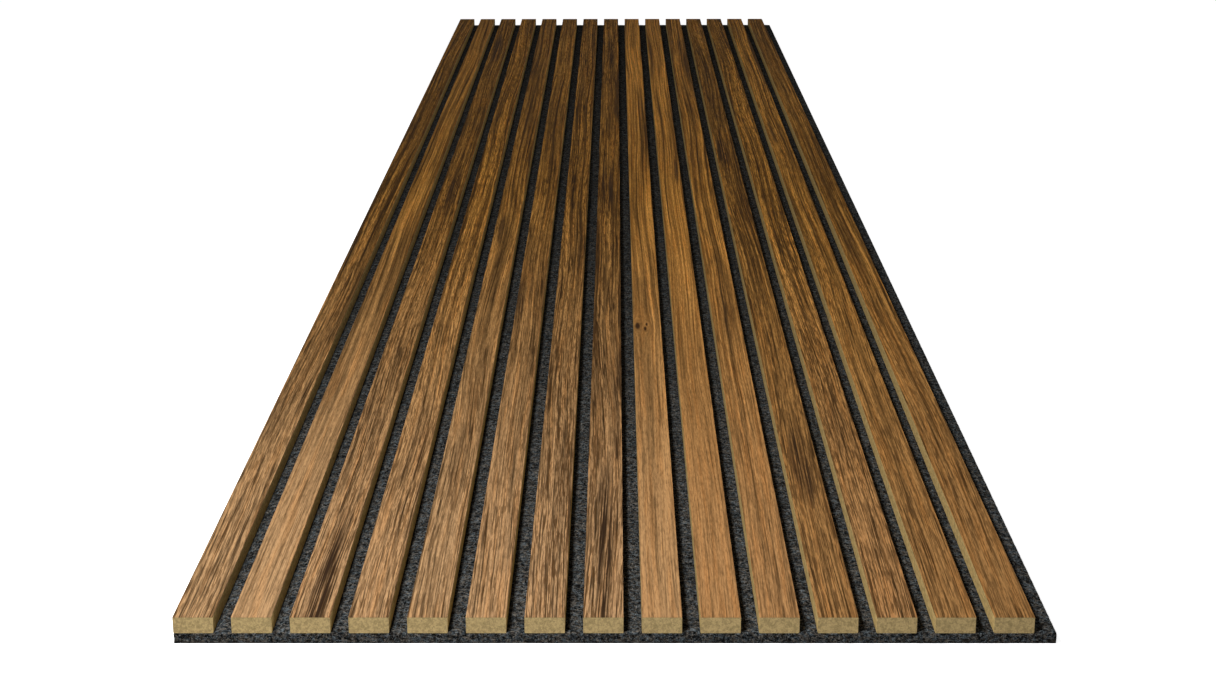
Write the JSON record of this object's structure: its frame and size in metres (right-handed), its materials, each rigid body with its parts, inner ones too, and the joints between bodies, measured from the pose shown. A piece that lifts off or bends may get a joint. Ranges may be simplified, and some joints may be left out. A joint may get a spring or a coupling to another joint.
{
  "type": "acoustic slat wall panel",
  "caption": "Long flat wall panel of parallel wood-veneered slats on a dark felt backing board, for sound absorption and wall cladding.",
  "frame": {"origin": "middle of the felt's flat back face, which is also the bottom centre of the panel's box", "axes": "+X across the slats, from the flush edge to the bare felt lip; +Y along the slats; +Z out of the wall, from the felt to the slat faces"},
  "size_m": [0.6, 2.78, 0.02],
  "materials": {
    "felt": "pressed charcoal felt board, matt, slightly mottled",
    "fibreboard": "raw sawn fibreboard, matt",
    "veneer": "brown open-pored wood veneer, satin",
    "staple_wire": "galvanised flat wire"
  },
  "bodies": {
    "root": {"felt_backing": "felt", "staples": "staple_wire", "slat_core_01": "fibreboard", "face_veneer_01": "veneer", "slat_core_02": "fibreboard", "face_veneer_02": "veneer", "slat_core_03": "fibreboard", "face_veneer_03": "veneer", "slat_core_04": "fibreboard", "face_veneer_04": "veneer", "slat_core_05": "fibreboard", "face_veneer_05": "veneer", "slat_core_06": "fibreboard", "face_veneer_06": "veneer", "slat_core_07": "fibreboard", "face_veneer_07": "veneer", "slat_core_08": "fibreboard", "face_veneer_08": "veneer", "slat_core_09": "fibreboard", "face_veneer_09": "veneer", "slat_core_10": "fibreboard", "face_veneer_10": "veneer", "slat_core_11": "fibreboard", "face_veneer_11": "veneer", "slat_core_12": "fibreboard", "face_veneer_12": "veneer", "slat_core_13": "fibreboard", "face_veneer_13": "veneer", "slat_core_14": "fibreboard", "face_veneer_14": "veneer", "slat_core_15": "fibreboard", "face_veneer_15": "veneer"}
  },
  "joints": []
}
